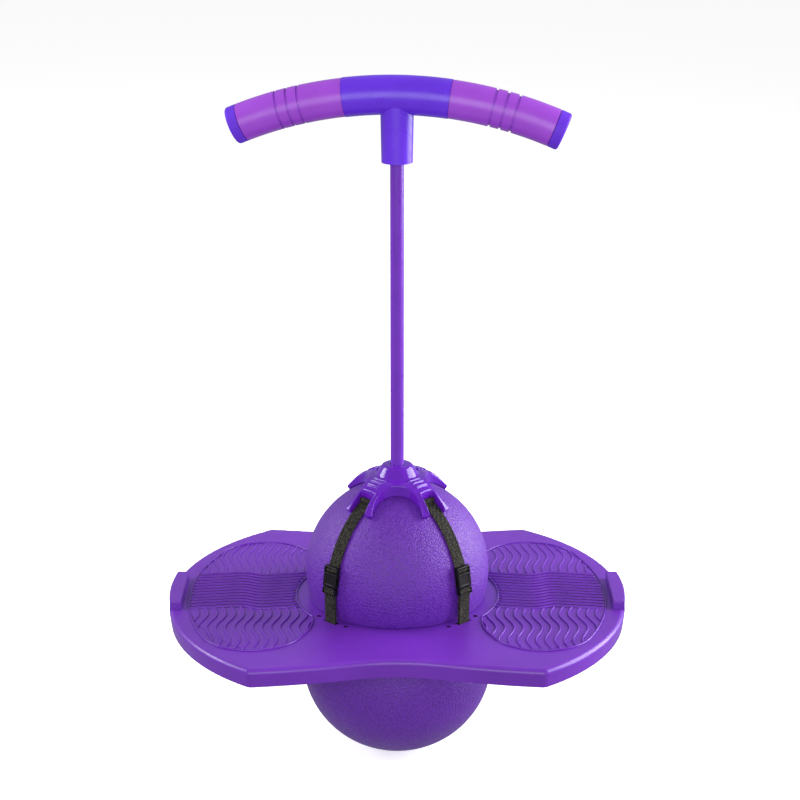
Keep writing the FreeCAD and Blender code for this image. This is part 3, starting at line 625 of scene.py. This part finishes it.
def rounded_box(over, across, along, half_wide, low, high, edge, over_low=0.0, over_high=BUCKLE_THICK):
    return box_distance(np.abs(over - (over_low + over_high) / 2) - (over_high - over_low) / 2 + edge,
                        np.abs(across) - half_wide + edge,
                        np.abs(along - (low + high) / 2) - (high - low) / 2 + edge) - edge


def with_bar(body, over, across, along, bar_over, bar_along, exit_low, exit_high):
    """Opens a window for the strap's loop, puts its bar in, and cuts the strap's way out below."""
    window = np.maximum(np.abs(along - bar_along) - WINDOW_HALF, np.abs(across) - BUCKLE_WINDOW)
    body = smooth_max(body, -window, 0.7 * MM)
    way_out = rounded_box(over, across, along, BUCKLE_WINDOW, exit_low, exit_high, 0.2 * MM,
                          -1 * MM, bar_over - 0.5 * MM)
    body = np.maximum(body, -way_out)
    bar = np.hypot(over - bar_over, along - bar_along) - BUCKLE_BAR
    return np.minimum(body, np.maximum(bar, np.abs(across) - BUCKLE_WINDOW - 0.5 * MM))


def female_shape(over, across, along):
    """The hollow upper half, with side windows for the arms and a shallow panel on its face."""
    body = rounded_box(over, across, along, FEMALE_HALF_WIDE, FEMALE_LOW, FEMALE_HIGH, 1.5 * MM)
    cavity = rounded_box(over, across, along, BUCKLE_WINDOW, 2 * FEMALE_LOW, 5.4 * MM, 0.4 * MM,
                         SKIN, BUCKLE_THICK - SKIN)
    sides = np.maximum(np.abs(over - BUCKLE_THICK / 2) - BUCKLE_THICK / 2 + SKIN,
                       np.maximum(BUCKLE_WINDOW - 0.5 * MM - np.abs(across),
                                  np.abs(along - 0.4 * MM) - 3 * MM))
    body = smooth_max(body, -np.minimum(cavity, sides), 0.5 * MM)
    panel = rounded_box(over, across, along, 5.6 * MM, -4.6 * MM, 6 * MM, 0.3 * MM,
                        BUCKLE_THICK - 0.4 * MM, BUCKLE_THICK + 2 * MM)
    body = smooth_max(body, -panel, 0.4 * MM)
    return with_bar(body, over, across, along, FEMALE_BAR_OVER, FEMALE_BAR,
                    FEMALE_BAR + WINDOW_HALF - 1 * MM, FEMALE_HIGH + 1 * MM)


def male_shape(over, across, along):
    """The lower half: a base with two side arms and a middle tongue."""
    body = rounded_box(over, across, along, MALE_HALF_WIDE, MALE_LOW, MALE_HIGH, 1.3 * MM)
    fingers = (1.6 * MM, BUCKLE_THICK - 1.6 * MM)
    arm = rounded_box(over, np.abs(across) - 6.1 * MM, along, 1.3 * MM, MALE_HIGH - 1 * MM, ARM_TIP,
                      0.6 * MM, *fingers)
    tongue = rounded_box(over, across, along, 1.3 * MM, MALE_HIGH - 1 * MM, 2 * MM, 0.6 * MM, *fingers)
    body = smooth_min(body, np.minimum(arm, tongue), 0.6 * MM)
    return with_bar(body, over, across, along, MALE_BAR_OVER, MALE_BAR,
                    MALE_LOW - 1 * MM, MALE_BAR - WINDOW_HALF + 1 * MM)


def make_buckles():
    """Both halves are shaped once and placed on each strap."""
    margin = 0.8 * MM
    halves = (("female", female_shape, FEMALE_LOW, FEMALE_HIGH), ("male", male_shape, MALE_LOW, ARM_TIP))
    for half, shape, low, high in halves:
        corner_low = (-margin, -FEMALE_HALF_WIDE - margin, low - margin)
        corner_high = (BUCKLE_THICK + margin, FEMALE_HALF_WIDE + margin, high + margin)
        vertices, faces = polygonise(shape, corner_low, corner_high, 0.3 * MM)
        outward, height = on_buckle(vertices[:, 0], vertices[:, 2])
        placed = np.array([outward, vertices[:, 1], height]).T
        for place_name, turn in STRAP_TURNS.items():
            spin = np.array(Matrix.Rotation(math.radians(turn), 3, "Z"))
            piece = new_piece(f"buckle_{half}_shell_{place_name}", placed @ spin.T, faces, "buckle")
            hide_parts(f"buckle_{half}_{place_name}")
            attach(piece, "deck" if half == "female" else f"clip_{place_name}")


# ---------------------------------------------------------------- foot pad treads

# The tread's own outline. It isn't the outline of the board's raised pad, which has fewer arcs:
# along most of its length the tread's border is past the pad's edge, on the plain board.
PAD_SIDE_X, PAD_SIDE_Y = 205 * MM, 112 * MM
PAD_SHOULDER_X = 98 * MM
PAD_OUTER = 228.5 * MM
PAD_END_ROUND, PAD_INNER_ROUND = 57 * MM, 76 * MM
PAD_RING, PAD_INNER_Y = 109.5 * MM, 62.5 * MM
PAD_LONG = 150 * MM
PAD_INSET = 2 * MM
SHORTEST_RUN = 10
WAVES, FIRST_WAVE, WAVE_PITCH = 17, 90.2 * MM, 9.7 * MM
WAVE_SWING, WAVE_STEP = 4.1 * MM, 1.2 * MM
UPPER_CREST, UPPER_WAVE = 105 * MM, 76 * MM
LOWER_CREST, LOWER_WAVE = -91 * MM, 66 * MM
WAVE_HALF, WAVE_HIGH = 1.15 * MM, 1.5 * MM
BAND_ROWS, BAND_HALF, BAND_RIDGE_HIGH = 12, 2.1 * MM, 1.7 * MM
BORDER_HALF, BORDER_HIGH = 0.9 * MM, 1.3 * MM


def arc_centre(start, end, radius):
    """Centre of the arc that runs anticlockwise from start to end."""
    chord = Vector(end) - Vector(start)
    left = Vector((-chord.y, chord.x)).normalized()
    return Vector(start) + chord / 2 + left * math.sqrt(radius**2 - (chord.length / 2) ** 2)


PAD_SIDE = (PAD_SIDE_X, PAD_SIDE_Y)
PAD_SHOULDER = (PAD_SHOULDER_X, PAD_SIDE_Y)
PAD_CORNER = (math.sqrt(PAD_RING**2 - PAD_INNER_Y**2), PAD_INNER_Y)
OUTER_ROUND = (PAD_SIDE_Y**2 + (PAD_OUTER - PAD_SIDE_X) ** 2) / (2 * (PAD_OUTER - PAD_SIDE_X))
OUTER_CENTRE = Vector((PAD_OUTER - OUTER_ROUND, 0))
END_CENTRE = arc_centre(PAD_SIDE, PAD_SHOULDER, PAD_END_ROUND)
INNER_CENTRE = arc_centre(PAD_SHOULDER, PAD_CORNER, PAD_INNER_ROUND)


def in_pad(x, y, inset):
    """True if a point of the right tread is inside its outline by inset."""
    spot = Vector((x, abs(y)))
    if spot.length < PAD_RING + inset or (spot - OUTER_CENTRE).length > OUTER_ROUND - inset:
        return False
    if spot.y > PAD_SIDE_Y:
        return (spot - END_CENTRE).length < PAD_END_ROUND - inset
    if spot.y > PAD_INNER_Y and x < INNER_CENTRE.x:
        return (spot - INNER_CENTRE).length < PAD_INNER_ROUND - inset
    return True


def band_wave(x):
    """How far the middle band's lines swing in Y: a quick rise and a slow fall."""
    phase = math.tau * (x - 160 * MM) / (80 * MM)
    return 3.6 * MM * math.sin(phase + 0.6 * math.sin(phase))


def runs_inside(points, inset):
    """The stretches of a line that lie inside the tread's outline."""
    runs, run = [], []
    for x, y in points:
        if in_pad(x, y, inset):
            run.append((x, y))
            continue
        runs.append(run)
        run = []
    return [kept for kept in runs + [run] if len(kept) >= SHORTEST_RUN]


def tread_lines():
    """Every raised line of the right tread, as (points, half width, height)."""
    lines = []
    for index in range(WAVES):
        middle = FIRST_WAVE + index * WAVE_PITCH

        def snake(low, high, crest, wave):
            count = int((high - low) / WAVE_STEP)
            heights = [low + (high - low) * i / count for i in range(count + 1)]
            return [(middle + WAVE_SWING * math.cos(math.tau * (y - crest) / wave), y) for y in heights]

        upper = snake(BAND_HIGH + band_wave(middle) + 1 * MM, PAD_LONG, UPPER_CREST, UPPER_WAVE)
        lower = snake(-PAD_LONG, BAND_LOW + band_wave(middle) - 1 * MM, LOWER_CREST, LOWER_WAVE)
        for run in runs_inside(upper, PAD_INSET) + runs_inside(lower, PAD_INSET):
            lines.append((run, WAVE_HALF, WAVE_HIGH))
    for row in range(BAND_ROWS + 1):
        y = BAND_LOW + (BAND_HIGH - BAND_LOW) * row / BAND_ROWS
        points = [(x * MM, y + band_wave(x * MM)) for x in np.arange(90, 235, 1.2)]
        for run in runs_inside(points, PAD_INSET):
            lines.append((run, BAND_HALF, BAND_RIDGE_HIGH))
    return lines


def pad_outline():
    """The tread's border as one closed line: four arcs, then the same four mirrored."""
    def arc(centre, radius, first, last):
        count = max(8, int(abs(last - first) * radius / (1.5 * MM)))
        turns = [first + (last - first) * i / count for i in range(count)]
        return [(centre[0] + radius * math.cos(t), centre[1] + radius * math.sin(t)) for t in turns]

    def between(centre, radius, start, end):
        first = math.atan2(start[1] - centre[1], start[0] - centre[0])
        last = math.atan2(end[1] - centre[1], end[0] - centre[0])
        last += math.tau if last < first - math.pi else 0
        return arc(centre, radius, first, last)

    inset = 1 * MM
    half = between(OUTER_CENTRE, OUTER_ROUND - inset, (PAD_OUTER, 0), PAD_SIDE)
    half += between(END_CENTRE, PAD_END_ROUND - inset, PAD_SIDE, PAD_SHOULDER)
    half += between(INNER_CENTRE, PAD_INNER_ROUND - inset, PAD_SHOULDER, PAD_CORNER)
    half += between((0, 0), PAD_RING + inset, PAD_CORNER, (PAD_RING, 0))
    return half + [(x, -y) for x, y in half[:0:-1]]


def ridge(vertices, faces, points, half, height, base, side, closed=False):
    """A rounded ridge along a line: five points across, tapering down at open ends."""
    path = np.array(points) * np.array([side, 1])
    ahead = np.roll(path, -1, axis=0) - np.roll(path, 1, axis=0)
    if not closed:
        ahead[0], ahead[-1] = path[1] - path[0], path[-1] - path[-2]
    ahead /= np.linalg.norm(ahead, axis=1)[:, None]
    first = len(vertices)
    count = len(path)
    for index, (spot, along) in enumerate(zip(path, ahead)):
        ends = 1.0 if closed else min(1.0, 0.3 + 0.35 * min(index, count - 1 - index))
        left = np.array([-along[1], along[0]])
        for across, up in ((-1, -0.5), (-0.72, 0.62), (0, 1), (0.72, 0.62), (1, -0.5)):
            place = spot + left * half * across * ends
            vertices.append((place[0], place[1], base + height * up * ends))
    made = grid_faces(count, 5, closed_rows=closed, closed_columns=True)
    faces += [tuple(first + v for v in f) for f in made]
    if not closed:
        faces.append(tuple(first + v for v in range(5)))
        faces.append(tuple(first + (count - 1) * 5 + v for v in reversed(range(5))))


def make_treads():
    for name, side in (("left", -1), ("right", 1)):
        vertices, faces = [], []
        for points, half, height in tread_lines():
            ridge(vertices, faces, points, half, height, PAD_TOP, side)
        ridge(vertices, faces, pad_outline(), BORDER_HALF, BORDER_HIGH, PAD_TOP, side, closed=True)
        piece = new_piece(f"tread_{name}", vertices, faces, "board")
        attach(piece, "deck")


# ---------------------------------------------------------------- floor, light and camera

WALLS_AWAY = 30.0
FLOOR_GLOW = 0.56
ROOM_LIGHT = 0.42
EYE_OVER_BOARD, EYE_AWAY, EYE_ASIDE = 0.8753, 2.0234, 3 * MM
LOOK_DOWN = 17.866


def area_light(name, place, target, size, power, colour=(1, 1, 1)):
    lamp = bpy.data.lights.new(name, "AREA")
    lamp.shape = "RECTANGLE"
    lamp.size, lamp.size_y = size
    lamp.energy = power
    lamp.color = colour
    lit = bpy.data.objects.new(name, lamp)
    lit.location = place
    lit.rotation_euler = (Vector(target) - Vector(place)).to_track_quat("-Z", "Y").to_euler()
    bpy.context.collection.objects.link(lit)


def make_floor():
    """A pale floor and far walls with a glow of their own, so the picture stays white to its top."""
    reach = WALLS_AWAY
    corners = [(-reach, -reach), (reach, -reach), (reach, reach), (-reach, reach)]
    vertices = [(x, y, 0) for x, y in corners] + [(x, y, reach) for x, y in corners]
    faces = [(0, 1, 2, 3)] + [(i, i + 4, (i + 1) % 4 + 4, (i + 1) % 4) for i in range(4)]
    mesh = bpy.data.meshes.new("floor")
    mesh.from_pydata(vertices, [], faces)
    floor = bpy.data.objects.new("floor", mesh)
    bpy.context.collection.objects.link(floor)
    made = Material("pale_floor", 0.7, specular=0.0)
    made.colour((0.9, 0.9, 0.9, 1.0))
    made.set("Emission Color", (1.0, 1.0, 1.0, 1.0))
    made.set("Emission Strength", FLOOR_GLOW)
    floor.data.materials.append(made.material)
    floor.visible_diffuse = False
    floor.visible_glossy = False
    floor.visible_shadow = False


def make_lights():
    """A soft box on each side, the right one much stronger, a wide front fill and an even room."""
    middle = (0, 0, 0.35)
    area_light("key_right", (2.1, 0.45, 1.0), middle, (2.0, 1.9), 105)
    area_light("side_left", (-2.1, 0.4, 1.4), middle, (1.1, 1.1), 40)
    area_light("front_fill", (-0.4, -4.2, 1.4), middle, (4.0, 2.4), 112)
    world = bpy.data.worlds.new("white_room")
    world.use_nodes = True
    sky = world.node_tree.nodes["Background"]
    sky.inputs["Color"].default_value = (1.0, 1.0, 1.0, 1.0)
    sky.inputs["Strength"].default_value = ROOM_LIGHT
    bpy.context.scene.world = world
    bpy.context.scene.view_settings.view_transform = "Standard"


def make_camera():
    lens = bpy.data.cameras.new("camera")
    lens.lens = 90
    lens.sensor_width = 36
    lens.clip_end = 100
    camera = bpy.data.objects.new("camera", lens)
    camera.location = (EYE_ASIDE, -EYE_AWAY, BOARD_TOP + EYE_OVER_BOARD)
    camera.rotation_euler = (math.radians(90 - LOOK_DOWN), 0, 0)
    bpy.context.collection.objects.link(camera)
    bpy.context.scene.camera = camera


make_ball()
make_crown()
make_buckles()
make_treads()
for place_name, turn in STRAP_TURNS.items():
    make_upper_strap(place_name, turn)
    make_lower_strap(place_name, turn)
make_floor()
make_lights()
make_camera()
